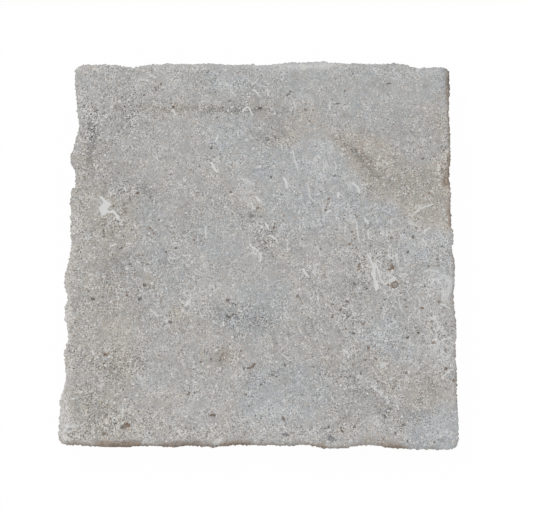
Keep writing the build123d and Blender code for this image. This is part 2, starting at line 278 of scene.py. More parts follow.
# Soft patches: (x, y, half length, half width, amount, and turn in degrees if any).
# Here the amount is in steps of red over blue
WARM_PATCHES = [
    (290, 137, 10, 12, 7.5), (303, 112, 16, 9, 3), (262, 112, 10, 10, 3), (358, 155, 16, 8, 3, -40),
    (320, 122, 14, 8, 2.5, -30), (168, 109, 22, 5, 6), (215, 108, 40, 4, 3.5), (110, 108, 25, 5, 1.5),
    (178, 314, 10, 9, 6.5), (225, 357, 10, 9, 9.5), (150, 283, 8, 6, 6), (152, 232, 6, 6, 5),
    (190, 325, 20, 16, 2), (255, 187, 7, 7, 4.5), (258, 205, 6, 7, 5), (232, 192, 30, 7, 2, -48),
    (272, 246, 20, 6, 2.5, -20), (120, 335, 18, 20, 3), (118, 375, 14, 18, 2.5), (115, 230, 18, 18, 1.5),
    (361, 265, 5, 8, 4), (391, 268, 6, 5, 4), (394, 284, 6, 5, 3), (385, 370, 26, 10, 4.5, -35),
    (436, 390, 14, 14, 6, 30), (412, 400, 12, 10, 3.5), (343, 425, 8, 12, 4), (335, 365, 40, 7, 1.5, -60),
    (375, 430, 20, 8, 2), (440, 125, 10, 20, 4), (445, 168, 8, 20, 4), (425, 110, 10, 6, 2.5),
    (330, 203, 6, 6, 2), (345, 235, 8, 6, 1.5), (160, 430, 60, 8, 3), (85, 82, 14, 16, -2.5),
    (105, 205, 8, 8, -2), (424, 256, 4.5, 4, -8), (89, 237, 3.5, 3.5, -7), (110, 200, 5, 3, 6),
    (400, 305, 40, 14, -1.5), (111, 253, 5, 2.5, 4), (152, 383, 12, 9, -4.5), (165, 310, 10, 14, -2.5),
    (207, 398, 12, 10, -2), (60, 425, 8, 20, -4), (160, 402, 26, 12, 3.5), (385, 392, 14, 8, 2.5),
    (430, 405, 10, 6, 3.5), (388, 432, 10, 7, -3), (445, 350, 12, 10, -4.5), (448, 84, 4, 13, -6),
    (190, 88, 60, 13, -1.2), (315, 430, 14, 8, -3), (250, 190, 8, 8, -2.5),
]

# Darker and paler patches, in steps of light: most are the stone's own mottling, but the pale strips along
# the north and west edges are partly paler stone and partly painted highlight on the rim that faces the lamp,
# and the pale patch at (454, 283) is painted light over the east rim's shade
TONE_AND_PAINTED_LIGHT_PATCHES = [
    (200, 109, 28, 4.5, -15), (160, 109, 18, 4.5, -8), (238, 109, 18, 4.5, -15), (259, 108, 6, 5, -9),
    (125, 108, 10, 7, -4), (92, 135, 5, 16, -17), (89, 163, 6, 14, -8), (110, 282, 13, 34, -9),
    (200, 205, 22, 22, -4.5), (275, 134, 13, 8, -10), (278, 115, 16, 8, -6), (260, 137, 8, 6, -6),
    (339, 137, 5, 4, -16, -35), (352, 150, 10, 6, -13, -40), (361, 157, 9, 6, -13, -30),
    (371, 168, 7, 9, -12, -20), (376, 177, 6, 8, -7), (371, 190, 5, 6, -11), (392, 182, 10, 9, -7),
    (404, 190, 6, 5, -6), (420, 180, 24, 16, -7), (365, 163, 8, 7, -6, -40), (445, 165, 5, 24, -6),
    (142, 190, 13, 5, -8, -10), (115, 180, 16, 12, -4), (246, 216, 8, 6, -8), (262, 243, 8, 6, -8, -30),
    # (307, 66) on the north rim and (66, 316) on the west rim are partly paler stone, partly painted
    # highlight; (454, 283) is painted light over the east rim's shade
    (268, 232, 8, 6, -4), (233, 315, 10, 10, -13), (307, 66, 24, 2.6, 13), (454, 283, 3, 9, 10),
    (66, 316, 5, 36, 5), (262, 320, 12, 9, -15), (220, 308, 8, 7, -8), (245, 305, 16, 8, -5),
    (221, 356, 9, 8, -11), (253, 378, 6, 8, -7), (288, 362, 6, 5, -9), (145, 285, 5, 5, -8),
    (125, 262, 16, 14, -5), (165, 258, 8, 10, -5), (116, 370, 9, 9, -9), (118, 368, 24, 26, -3.5),
    (95, 420, 10, 16, -7), (350, 288, 14, 10, -11), (354, 377, 8, 12, -7), (363, 392, 6, 5, -9),
    (386, 409, 7, 9, -10), (350, 393, 10, 8, -5), (345, 415, 8, 8, -9), (396, 385, 6, 6, -8),
    (425, 387, 14, 10, -7), (330, 434, 10, 6, -8), (116, 224, 9, 11, -8), (85, 300, 6, 8, -5),
    (405, 120, 30, 20, -2.5), (435, 130, 10, 26, -5), (89, 237, 3, 3, 12), (224, 82, 9, 13, 7),
    (140, 80, 12, 8, 4), (112, 73, 14, 4, 7), (205, 127, 12, 8, 4), (228, 172, 12, 10, -3),
    (285, 268, 18, 20, -4.5), (240, 335, 16, 8, -5), (300, 330, 14, 10, -5), (330, 372, 12, 12, -6),
    (280, 374, 14, 9, -5.5), (370, 400, 12, 14, -6), (415, 412, 16, 9, -7), (442, 350, 14, 10, 10),
    (448, 192, 6, 8, 8), (150, 388, 10, 10, 7), (160, 350, 16, 8, 6), (190, 408, 10, 8, 6),
    (168, 430, 12, 6, 6), (392, 232, 10, 8, 7), (388, 277, 10, 14, 6), (410, 250, 8, 8, 6),
    (425, 108, 14, 10, 6), (368, 132, 12, 8, -7), (275, 70, 20, 7, 8), (90, 95, 6, 40, 2),
    (120, 70, 16, 8, -6), (125, 120, 16, 18, -6), (105, 155, 20, 20, -4), (150, 195, 16, 12, -5),
    (88, 392, 10, 12, -10), (95, 408, 16, 8, -6), (200, 82, 16, 16, -4), (250, 212, 8, 8, -4),
    (350, 425, 10, 10, -6), (315, 330, 16, 14, -4), (135, 312, 14, 10, -5), (327, 146, 14, 6, 7, -15),
    (355, 184, 12, 4.5, 6, -66), (337, 212, 14, 5, 6, 59), (312, 222, 12, 4, 5, 20), (245, 198, 7, 7, 8),
    (248, 187, 12, 8, 4), (254, 249, 9, 5, 8, -50), (295, 290, 5, 10, 7), (375, 278, 6, 12, 6),
    (425, 240, 15, 8, 5), (436, 277, 9, 13, 7, -30), (440, 292, 8, 8, 2), (436, 328, 9, 18, 4),
    (412, 345, 8, 6, 4), (190, 300, 13, 8, 5), (195, 287, 12, 10, 5), (215, 290, 8, 6, 5),
    (146, 435, 8, 5, 5), (139, 381, 7, 7, 3), (235, 375, 7, 5, 6), (280, 412, 22, 7, 7),
    # (316, 64), (190, 67), (400, 72) and (110, 66) along the north edge and (64, 416), (70, 250), (66, 345),
    # (78, 100) along the west edge are partly paler stone, partly painted highlight on the rim facing the
    # lamp
    (272, 430, 14, 6, 5), (376, 420, 5, 8, 3), (316, 64, 30, 4, 16), (190, 67, 110, 4, 4),
    (400, 72, 40, 5, 5), (64, 416, 6, 26, 20), (70, 250, 4, 60, 7), (66, 345, 4, 60, 9),
    (110, 66, 45, 4, 8), (78, 100, 5, 30, 3), (420, 302, 10, 8, 4), (305, 165, 30, 20, 3.5),
    (342, 92, 14, 11, 5), (168, 88, 10, 9, 5), (148, 112, 10, 8, 4), (250, 70, 10, 7, 4),
    (340, 190, 12, 8, 4), (370, 210, 8, 8, 4), (370, 230, 8, 8, -5), (390, 250, 8, 8, -5),
    (350, 250, 8, 9, 5), (330, 270, 9, 8, 4), (210, 270, 9, 9, 4), (268, 132, 8, 7, 3), (88, 108, 6, 8, -4),
    (170, 310, 8, 8, 5), (110, 332, 9, 8, 4), (110, 428, 8, 7, -4), (410, 352, 9, 9, 4),
    (440, 428, 14, 12, 6), (290, 150, 8, 8, -4), (250, 190, 8, 8, -4), (170, 230, 8, 8, -4),
    (290, 250, 8, 8, -4), (190, 250, 8, 8, 4), (150, 372, 16, 8, 3), (110, 70, 10, 5, -3),
    (410, 70, 10, 5, -4),
]

# Patches with a stronger or weaker grain
GRAIN_PATCHES = [
    (92, 123, 8, 14, 0.5), (84, 120, 14, 60, 0.35), (200, 72, 22, 8, 0.5), (115, 68, 20, 6, 0.5),
    (110, 100, 50, 40, 0.35), (128, 115, 14, 14, 0.4), (175, 108, 10, 8, 0.7), (130, 190, 14, 7, 0.8),
    (112, 216, 14, 12, 0.6), (263, 228, 28, 9, 0.5, -61), (234, 314, 18, 14, 0.6), (262, 320, 14, 10, 0.3),
    (178, 310, 18, 7, 0.8, 40), (135, 290, 34, 8, 0.6), (75, 436, 16, 8, 0.5), (130, 265, 10, 8, 0.6),
    (115, 358, 36, 16, 0.6), (90, 393, 12, 8, 0.7), (115, 420, 26, 12, 0.65), (366, 268, 13, 15, 0.8),
    (391, 275, 8, 14, 0.9), (314, 275, 8, 12, 0.7), (337, 308, 18, 12, 0.6), (437, 338, 14, 12, 0.9),
    (350, 318, 12, 10, 0.5), (268, 244, 18, 14, 0.3), (447, 256, 6, 8, 0.7), (365, 345, 14, 14, 0.4),
    (378, 388, 14, 8, 0.6, -30), (387, 411, 8, 8, 0.8), (283, 422, 7, 10, 0.6), (445, 372, 8, 10, 0.8),
    (68, 330, 10, 110, 0.5), (447, 150, 6, 80, 0.6), (200, 430, 150, 8, 0.4), (310, 85, 24, 24, -0.5),
    (395, 92, 60, 24, -0.5), (265, 283, 26, 20, -0.35), (225, 250, 26, 22, -0.25), (310, 172, 34, 28, -0.3),
    (300, 388, 18, 14, -0.45), (380, 310, 20, 14, -0.2), (260, 338, 16, 8, -0.25),
    (175, 150, 26, 22, -0.25),
]

# Patches crowded with thin broken shells
SHELLY_PATCHES = [
    (415, 275, 40, 60, 1), (370, 235, 36, 24, 0.8), (300, 180, 40, 40, 0.6), (340, 210, 20, 20, 0.5),
    (262, 235, 24, 26, 0.6), (190, 260, 30, 30, 0.4), (390, 340, 50, 30, 0.7), (445, 330, 12, 30, 0.6),
    (370, 385, 40, 30, 0.5, 40), (280, 355, 40, 30, 0.3), (190, 305, 16, 12, 0.6), (420, 85, 20, 20, 0.2),
]

# Chalky flecks
CHALK_PATCHES = [
    (382, 364, 5, 4, 0.9), (375, 387, 5, 3, 0.8, -30), (382, 394, 5, 3, 0.8, -40),
    (388, 401, 2, 4, 0.9, 20), (397, 407, 1.6, 4, 0.9, 25), (377, 420, 4, 6, 0.7), (399, 386, 3, 5, 0.7),
    (345, 350, 5, 2, 0.9, -35), (448, 375, 6, 3, 0.9, 35), (331, 431, 3.5, 1.4, 0.9), (355, 430, 2, 3, 0.7),
    (344, 427, 2, 2, 0.8), (308, 430, 4, 2, 0.6), (146, 435, 7, 4, 0.7), (142, 379, 6, 5, 0.5),
    (129, 409, 3, 5, 0.6), (101, 384, 3, 4, 0.9), (102, 395, 1.5, 4, 0.6), (114, 418, 5, 2, 0.7, -30),
    (187, 384, 1.5, 5, 0.6, 15), (189.6, 399, 2, 3.5, 1, -30), (315, 270, 5, 4, 0.9),
    (318, 279, 3, 1.6, 0.9, 40), (304, 272, 2, 5, 0.7, 30), (75, 424, 10, 2, 0.7), (72, 432, 10, 2, 0.8),
    (84, 428, 6, 2, 0.6), (131, 291, 3, 4, 0.6), (117, 298, 1.4, 2.6, 1), (146, 293, 4, 1.6, 0.8),
    (156, 288, 4, 2.4, 0.6), (96.5, 272.6, 1.4, 2, 1), (212, 270, 4, 5, 0.5), (246, 181, 7, 3, 0.6, -30),
    (250, 203, 7, 5, 0.6, -30), (196, 123, 4, 3, 0.7), (99, 88, 2, 2.4, 0.9), (170, 107, 1.6, 2, 1),
    (205, 86, 2.4, 1.8, 0.7), (146, 99, 6, 1.6, 0.6, -30), (228, 84, 4, 3, 0.7), (235, 94, 1.6, 5, 0.6, 25),
    (191, 288, 8, 4, 0.4), (190, 302, 7, 5, 0.5, 40), (403, 123, 4, 4, 0.6), (426, 109, 1.6, 3.4, 0.9, 30),
    (444, 138, 4, 2.4, 0.7, 40), (424, 240, 5, 7, 0.6, 30), (443, 285, 5, 10, 0.5),
    (436, 325, 4, 9, 0.6, -15), (412, 345, 5, 3, 0.5), (436, 345, 6, 3, 0.6, 30),
    (109, 223, 3, 1.4, 0.7, 30), (285, 300, 2, 6, 0.6), (287, 318, 2, 6, 0.6, -20),
    (293, 330, 5, 1.6, 0.5, -40), (352, 323, 5, 2, 0.6, 40), (109, 200, 4, 2, 0.8), (111, 253, 5, 2, 0.8),
    (106, 428, 5, 3, 0.6),
]

# Brown stain along the south and east edges: (pixel along the side, width in pixels, strength)
SOUTH_STAIN = [
    (58, 0, 0), (66, 1.5, 0.4), (70, 4, 0.7), (78, 4, 0.7), (82, 2.5, 0.6), (94, 3, 0.6), (98, 6, 0.95),
    (120, 6.5, 1), (139, 6, 1), (142, 1.5, 1), (158, 2, 1), (163, 5, 0.85), (200, 5, 0.8), (212, 5, 0.7),
    (214, 2, 0.9), (219, 2, 0.9), (223, 6, 0.85), (245, 5, 0.85), (252, 3, 0.8), (256, 2.5, 0.6),
    (280, 2.5, 0.55), (300, 2.5, 0.6), (314, 3, 0.8), (318, 5, 0.75), (325, 4, 0.8), (328, 1.5, 0.6),
    (350, 2, 0.6), (360, 4, 0.4), (366, 8, 0.35), (378, 8, 0.4), (384, 6, 0.8), (398, 6, 0.95),
    (405, 3, 0.9), (409, 1, 0.4), (438, 1, 0.3), (445, 0, 0),
]
EAST_STAIN = [
    (64, 0, 0.5), (70, 4.5, 0.9), (75, 6, 1), (94, 5.5, 1), (104, 3.5, 0.9), (112, 3, 0.85), (130, 3, 0.8),
    (150, 3, 0.8), (156, 4, 0.85), (176, 4.5, 0.9), (181, 10, 0.9), (187, 9, 0.85), (189.5, 3, 0.5),
    (196, 2.5, 0.45), (200, 4.5, 0.6), (224, 5, 0.75), (228, 2, 0.5), (231, 0, 0), (249, 0, 0.1),
    (253, 3, 0.75), (266, 2.5, 0.65), (272, 0.5, 0.2), (288, 1.5, 0.5), (296, 3.5, 0.55), (302, 1.5, 0.5),
    (322, 1.5, 0.4), (345, 1.5, 0.4), (363, 1.5, 0.3), (372, 2, 0.3), (379, 4, 0.65), (384, 1.5, 0.3),
    (400, 3, 0.5), (408, 1.5, 0.3), (412, 0, 0), (440, 0, 0),
]

# The mesh laid over the stone
CELLS = 232  # cells along each side of the face's grid
BED_CELLS = CELLS // 4
COLUMNS = 4 * CELLS  # cells round the side, and twice as many over the edge
GRID_HALF = 92.0  # the face's grid ends here, and rows of cells run on from it over the edge
FLAT_ROWS = 7
EDGE_STARTS = 2.6  # distance in from the outline where the rows begin to turn over the edge
# Rows over the edge, and then down the side: (distance in from the outline, height above the bed)
EDGE_PROFILE = [(1.9, 20.0), (1.3, 19.9), (0.8, 19.5), (0.35, 18.9), (0.1, 18.2), (0.0, 17.4), (0.0, 16.5)]
SIDE_PROFILE = [(0.0, float(z)) for z in np.linspace(15.6, 2.2, 15)]
SIDE_PROFILE += [(1.0, 1.3), (1.3, 0.6), (1.8, 0.15), (2.5, 0.0), (3.5, 0.0)]
INNER = 6.0  # rays that find the side start this far inside it, and this far from bed and face
OUTLINE_LEVEL = 15.0
OUTLINE_RAYS = 7200


def solid_tree():
    """The solid's mesh, ready for ray casts in metres."""
    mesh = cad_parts["limestone_tile"].data
    return BVHTree.FromPolygons([v.co for v in mesh.vertices], [p.vertices for p in mesh.polygons])


def hit(tree, start, direction):
    """Where a ray first meets the solid, all in millimetres."""
    found = tree.ray_cast(Vector(start) * MM, Vector(direction).normalized())[0]
    return np.array(found) / MM


def walk(line):
    """The way walked along a line of points, at each point."""
    return np.concatenate([[0], np.cumsum(np.linalg.norm(np.diff(line, axis=0), axis=1))])


def outline(tree, count):
    """Points at even spacing round the stone's side, counter-clockwise from its south-west corner."""
    angles = np.radians(225) + np.arange(OUTLINE_RAYS) * 2 * np.pi / OUTLINE_RAYS
    ring = np.array([hit(tree, (0, 0, OUTLINE_LEVEL), (math.cos(a), math.sin(a), 0))[:2] for a in angles])
    closed = np.vstack([ring, ring[:1]])
    walked = walk(closed)
    corners = walked[:: OUTLINE_RAYS // 4]
    places = [np.linspace(a, b, count // 4, endpoint=False) for a, b in zip(corners, corners[1:])]
    return np.stack([np.interp(np.concatenate(places), walked, closed[:, k]) for k in (0, 1)], 1)


def square_grid(cells, level):
    """A flat grid's points, row by row from the south-west."""
    steps = np.linspace(-GRID_HALF, GRID_HALF, cells + 1)
    x, y = np.meshgrid(steps, steps)
    return np.stack([x.ravel(), y.ravel(), np.full(x.size, level)], 1)


def grid_faces(cells, first):
    """Four-sided faces, turned upwards, of a grid whose points begin at index first."""
    corner = first + np.add.outer(np.arange(cells) * (cells + 1), np.arange(cells)).ravel()
    return np.stack([corner, corner + 1, corner + cells + 2, corner + cells + 1], 1).tolist()


def grid_rim(cells, first):
    """Indices of a grid's border points, counter-clockwise from its south-west corner."""
    wide = cells + 1
    along = np.arange(cells)
    sides = [along, cells + wide * along, wide * wide - 1 - along, wide * (cells - along)]
    return first + np.concatenate(sides)


def belt(outer, inner):
    """Faces between two rings with the same number of points, or where one has half as many."""
    if len(outer) < len(inner):
        return [face[::-1] for face in belt(inner, outer)]
    if len(outer) == len(inner):
        return [(a, b, d, c) for a, b, c, d in zip(outer, np.roll(outer, -1), inner, np.roll(inner, -1))]
    faces = []
    for k, (here, after) in enumerate(zip(inner, np.roll(inner, -1))):
        start, middle, end = outer[2 * k], outer[2 * k + 1], outer[(2 * k + 2) % len(outer)]
        faces += [(start, middle, here), (middle, after, here), (middle, end, after)]
    return faces


def stone_mesh():
    """The stone's surface, fitted to the solid: points in millimetres, faces and the outline."""
    tree = solid_tree()
    points = [square_grid(CELLS, THICKNESS)]
    faces = grid_faces(CELLS, 0)
    rings = [grid_rim(CELLS, 0)]

    def add_ring(places):
        rings.append(sum(map(len, points)) + np.arange(len(places)))
        points.append(np.array(places))

    start = points[0][rings[0]][:, :2]
    fine_edge = outline(tree, 2 * COLUMNS)
    fine_start = np.stack([start, 0.5 * (start + np.roll(start, -1, axis=0))], 1).reshape(-1, 2)
    fine_outward = fine_edge - fine_start
    fine_outward /= np.linalg.norm(fine_outward, axis=1)[:, None]
    edge, outward = fine_edge[::2], fine_outward[::2]
    run = edge - outward * EDGE_STARTS - start
    for row in range(1, FLAT_ROWS + 1):
        flat = start + run * row / FLAT_ROWS
        add_ring([hit(tree, (x, y, THICKNESS + INNER), (0, 0, -1)) for x, y in flat])
    for profile, places, ways in ((EDGE_PROFILE, fine_edge, fine_outward), (SIDE_PROFILE, edge, outward)):
        for inset, level in profile:
            base_level = min(max(level, INNER), THICKNESS - INNER)
            bases = np.insert(places - ways * INNER, 2, base_level, axis=1)
            goals = np.insert(places - ways * inset, 2, level, axis=1)
            add_ring([hit(tree, base, goal - base) for base, goal in zip(bases, goals)])

    # The bed, with fewer cells
    halfway = (points[-1][::2, :2] + start[::2]) / 2
    add_ring(np.insert(halfway, 2, 0.0, axis=1))
    first = sum(map(len, points))
    points.append(square_grid(BED_CELLS, 0.0))
    rings.append(grid_rim(BED_CELLS, first))
    faces += [face[::-1] for face in grid_faces(BED_CELLS, first)]
    for upper, lower in zip(rings, rings[1:]):
        faces += [face[::-1] for face in belt(upper, lower)]
    return np.vstack(points), faces, fine_edge


# Fields over the mesh, which the material reads
FAR = 1e9
BLANK_SHELL = (50.0, 50.0, 0.0, 0.0)  # what a place far from every shell holds
BLANK_PIT = (9.0, 9.0, 0.0, 0.0, 0.0)
SHELL_STEP = 0.8
SHELL_MARGIN = 5.0  # places further than this from a shell's line are left out for it
SHELL_REACH = 2.0  # how far from a shell, pit or flake its own values are kept
PIT_REACH = 1.2
FLAKE_REACH = 2.5
FADE = 0.8  # distance over which they fade out
OVAL_FALL = 0.9  # how fast a soft patch fades out
WANDERING = ((9.0, 11, 1.2), (3.6, 13, 1.0))  # noise that bends the soft patches: (width, seed, height)


def bumps(points, size, seed):
    """Smooth noise from -1 to 1 with bumps about as wide as size."""
    away = Vector((seed * 17.31, seed * 5.17, seed * 9.73))
    return np.array([noise.noise(Vector(p) + away) for p in points / size])


def bump_sum(points, layers, shift=0):
    """Layers of smooth noise added up, each given as (width of its bumps, seed, height)."""
    return sum(height * bumps(points, size, seed + shift) for size, seed, height in layers)


def smooth_line(points, step):
    """A curve through the points, as points about one step apart."""
    points = np.array(points, float)
    if len(points) == 2:
        points = np.array([points[0], points.mean(0), points[1]])
    padded = np.vstack([2 * points[0] - points[1], points, 2 * points[-1] - points[-2]])
    made = []
    for a, b, c, d in zip(padded, padded[1:], padded[2:], padded[3:]):
        parts = max(2, round(np.linalg.norm(c - b) / step))
        once, twice, thrice = c - a, 2 * a - 5 * b + 4 * c - d, 3 * b - a - 3 * c + d
        made += [b + 0.5 * (once * t + twice * t**2 + thrice * t**3) for t in np.arange(parts) / parts]
    return np.array(made + [points[-1]])


def shell_fields(places):
    """For each place: how far it is across the nearest shell and past its end, and that shell's half width
    and paleness."""
    best = np.full(len(places), FAR)
    found = np.repeat(np.array(BLANK_SHELL)[:, None], len(places), axis=1)
    for width, paleness, line in SHELLS:
        line = smooth_line(on_face(line), SHELL_STEP)
        half_width = width * PIXEL / 2
        walked = walk(line)
        middle = walked[-1] / 2
        in_reach = (places > line.min(0) - SHELL_MARGIN) & (places < line.max(0) + SHELL_MARGIN)
        close = np.where(np.all(in_reach, axis=1))[0]
        for number, step in enumerate(np.diff(walked)):
            along = (line[number + 1] - line[number]) / step
            away = places[close] - line[number]
            t = away @ along
            side = away[:, 0] * along[1] - away[:, 1] * along[0]
            distance = np.hypot(side, np.maximum(np.maximum(-t, 0), t - step)) - half_width
            lower = -FAR if number == 0 else 0
            upper = FAR if number == len(line) - 2 else step
            past = np.abs(walked[number] + np.clip(t, lower, upper) - middle) - middle
            better = distance < best[close]
            chosen = close[better]
            best[chosen] = distance[better]
            found[:2, chosen] = side[better], past[better]
            found[2:, chosen] = [[half_width], [paleness]]
    found[2] *= np.clip((SHELL_REACH - best) / FADE + 1, 0, 1)
    return dict(zip(("shell_across", "shell_past", "shell_half", "shell_pale"), found))


def in_oval(places, x, y, long, short, turn=0):
    """The places along and across an oval given in pixels, counted in its own half length and half width."""
    away = (places - on_face([(x, y)])) / PIXEL
    angle = math.radians(turn)
    u = away[:, 0] * math.cos(angle) + away[:, 1] * math.sin(angle)
    v = away[:, 1] * math.cos(angle) - away[:, 0] * math.sin(angle)
    return u / long, v / short


def pit_fields(places):
    """For each place: where it is in the nearest pit, in the pit's own radii, and the pit's look and size."""
    best = np.full(len(places), FAR)
    found = np.repeat(np.array(BLANK_PIT)[:, None], len(places), axis=1)
    for x, y, long, short, brown, dark, *turn in PITS:
        u, v = in_oval(places, x, y, long, short, *turn)
        size = (long + short) / 2 * PIXEL
        distance = np.hypot(u * long, v * short) * PIXEL - size
        better = distance < best
        best[better] = distance[better]
        found[:2, better] = u[better], v[better]
        found[2:, better] = [[brown], [dark], [size]]
    found[3] *= np.clip((PIT_REACH - best) / FADE + 1, 0, 1)
    return dict(zip(("pit_x", "pit_y", "pit_brown", "pit_dark", "pit_size"), found))


def patch_sum(places, patches):
    """The sum of soft oval patches at each place."""
    total = np.zeros(len(places))
    for x, y, long, short, amount, *turn in patches:
        u, v = in_oval(places, x, y, long, short, *turn)
        total += amount * np.exp(-OVAL_FALL * (u * u + v * v))
    return total


def depth_inside(places, corners):
    """How far inside a closed outline each place is. Below 0 is outside."""
    nearest = np.full(len(places), FAR)
    inside = np.zeros(len(places), bool)
    for a, b in zip(corners, np.roll(corners, -1, axis=0)):
        along = b - a
        away = places - a
        share = np.clip(away @ along / (along @ along), 0, 1)
        nearest = np.minimum(nearest, np.linalg.norm(away - share[:, None] * along, axis=1))
        crosses = (places[:, 1] < a[1]) != (places[:, 1] < b[1])
        inside ^= crosses & (places[:, 0] < a[0] + away[:, 1] * along[0] / (along[1] or 1 / FAR))
    return np.where(inside, nearest, -nearest)


def region_sum(places, regions):
    """The sum of soft-edged regions at each place."""
    total = np.zeros(len(places))
    for amount, softness, line in regions:
        share = np.clip(depth_inside(places, on_face(line)) / (2 * softness * PIXEL) + 0.5, 0, 1)
        total += amount * share * share * (3 - 2 * share)
    return total


def flake_fields(places):
    """For each place: how far inside the nearest white flake it is, and the flake's paleness."""
    depth = np.full(len(places), -FLAKE_REACH)
    pale = np.zeros(len(places))
    for paleness, line in FLAKES:
        here = depth_inside(places, on_face(line))
        pale[here > depth] = paleness
        depth = np.maximum(depth, here)
    return {"flake_depth": depth, "flake_pale": pale}


def wander(places):
    """The places shifted a little by noise, so that soft shapes drawn on them look natural."""
    flat = np.insert(places, 2, 0.0, axis=1)
    return places + np.stack([bump_sum(flat, WANDERING, shift) for shift in (0, 1)], 1)


# The stone's own surface as layers of bumps:
# (width, seed, height on the honed face, on the worn rim and down the sides)
RELIEF = [
    (0.95, 6, 0.0, 0.75, 0.0), (1.6, 1, 0.04, 0.5, 0.3), (3.2, 2, 0.05, 0.36, 0.45),
    (7.0, 3, 0.06, 0.12, 0.6), (18.0, 4, 0.05, 0.0, 0.4), (45.0, 5, 0.06, 0.0, 0.0),
]
FACE_SUNK, RIM_SUNK, SIDE_SUNK = 0.12, 0.08, 0.28  # how far each lies behind the solid on the whole
SOUTH_EXTRA = 0.1  # the south side's own surface stands out this far from the solid on the whole
WEST_ROUGHER = 0.3  # share by which the bumps of the west side's rim are higher
SIDE_ENDS, RIM_STARTS = 9.0, 15.0  # heights between which a side's surface turns into the rim's
FLATTEN = 3  # how soon the honed face's finish gives way where the surface tilts
PIT_DEEP = 0.7  # a pit's depth as a share of its size
PIT_LEVEL = 0.5  # pits are only where the surface looks up by more than this
PIT_FULL = 1.5  # a pit has all of that depth if this times its depth of colour is 1 or more

# The patina down the sides
SIDE_ZONE = 95.0  # the outline beyond this belongs to a side
SOUTH_ROW, EAST_COLUMN = 445, 449  # where those edges lie in the photograph
BAND_LIMIT = 4.0  # depths inside a band are kept within this
PATINA_TOP = 17.5  # it reaches up to here on average, and fades in over the next length
PATINA_FADE = 4.0
PATINA_BORDER = ((7.0, 27, 6.0),)  # noise of its upper border: (width, seed, height)
PATINA_MOTTLING = ((24.0, 25, 1.3), (7.0, 26, 1.0), (2.6, 28, 0.7))
PATINA_PLAIN, PATINA_LEAST = 0.55, 0.1
BROWN_ANYWHERE, BROWN_EAST_SOUTH = 0.3, 0.45  # its strength, and what the east and south sides have more
STEEP_ALL, STEEP_FALL = 1.6, 1.8  # it covers upright stone and fades out as the stone turns level
BAND_RISE, BAND_PLAIN, BAND_LEAST = 14.0, 0.2, 0.3  # how the bands' strength grows with the height
DEPTH_LEAST, DEPTH_MOST = -1.0, 8.0  # depths behind the edge that the material is told apart


def relief(points, normals, pits):
    """How far the stone's own surface stands out from the solid at each point. Below 0 is inwards."""
    face, rim, side = -FACE_SUNK, 0.0, -SIDE_SUNK
    for size, seed, on_face_high, on_rim_high, on_side_high in RELIEF:
        layer = bumps(points, size, seed)
        face = face + on_face_high * layer
        rim = rim + on_rim_high * layer
        side = side + on_side_high * layer
    west, south = (np.clip(-normals[:, k], 0, 1) for k in (0, 1))
    rim = rim * (1 + WEST_ROUGHER * west) + SOUTH_EXTRA * south - RIM_SUNK
    side += (rim - side) * np.clip((points[:, 2] - SIDE_ENDS) / (RIM_STARTS - SIDE_ENDS), 0, 1)
    bowl = np.clip(1 - pits["pit_x"] ** 2 - pits["pit_y"] ** 2, 0, 1) * pits["pit_size"] * PIT_DEEP
    bowl *= np.clip(pits["pit_dark"] * PIT_FULL, 0, 1) * (normals[:, 2] > PIT_LEVEL)
    flat = np.abs(normals[:, 2]) ** FLATTEN
    return side + (face - bowl - side) * flat


def stain_fields(points, normals, edge):
    """For each point: its depth in from the south or the east edge, how far inside that edge's brown band it
    is, the band's strength and its side. Down the sides the bands give way to a mottled brown patina."""
    bands = []
    south_marks = [(mark[0], SOUTH_ROW) for mark in SOUTH_STAIN]
    east_marks = [(EAST_COLUMN, mark[0]) for mark in EAST_STAIN]
    for stain, marks, mirrored in ((SOUTH_STAIN, south_marks, False), (EAST_STAIN, east_marks, True)):
        # The east side is worked out in a mirror, where it is the south side
        here, line, marks = (-p[:, 1::-1] if mirrored else p[:, :2] for p in (points, edge, on_face(marks)))
        line = line[line[:, 1] < -SIDE_ZONE]
        line = line[np.argsort(line[:, 0])]
        depth = here[:, 1] - np.interp(here[:, 0], line[:, 0], line[:, 1])
        width, strength = (np.interp(here[:, 0], marks[:, 0], [mark[k] for mark in stain]) for k in (1, 2))
        bands.append((width * PIXEL - depth, strength, depth))
    south = bands[0][0] > bands[1][0]
    inside, strength, depth = np.where(south, *bands)
    inside = np.clip(inside, -BAND_LIMIT, BAND_LIMIT)
    strength = strength * np.clip(points[:, 2] / BAND_RISE + BAND_PLAIN, BAND_LEAST, 1)
    upright = np.clip(STEEP_ALL - STEEP_FALL * np.abs(normals[:, 2]), 0, 1)
    top = PATINA_TOP + bump_sum(points, PATINA_BORDER)
    below = upright * np.clip((top - points[:, 2]) / PATINA_FADE, 0, 1)
    brown = BROWN_ANYWHERE + BROWN_EAST_SOUTH * np.clip(np.maximum(normals[:, 0], -normals[:, 1]), 0, 1)
    patina = brown * np.clip(PATINA_PLAIN + bump_sum(points, PATINA_MOTTLING), PATINA_LEAST, 1)
    return {
        "edge_depth": np.clip(depth, DEPTH_LEAST, DEPTH_MOST),
        "stain_inside": inside + (BAND_LIMIT - inside) * below,
        "stain": strength + (patina - strength) * below,
        "stain_south": south.astype(float),
    }


def vertex_normals(points, faces):
    """Smooth normals at the points."""
    mesh = bpy.data.meshes.new("measure")
    mesh.from_pydata(points.tolist(), [], faces)
    normals = np.zeros(len(points) * 3, np.float32)
    mesh.vertices.foreach_get("normal", normals)
    bpy.data.meshes.remove(mesh)
    return normals.reshape(-1, 3)


SEEN_FROM, SEEN_FADE = 10.0, 6.0  # what was read off the face fades in over the sides from this height


def add_object(name, data):
    """A new object in the scene, from a mesh, a lamp or a camera."""
    made = bpy.data.objects.new(name, data)
    bpy.context.scene.collection.objects.link(made)
    return made


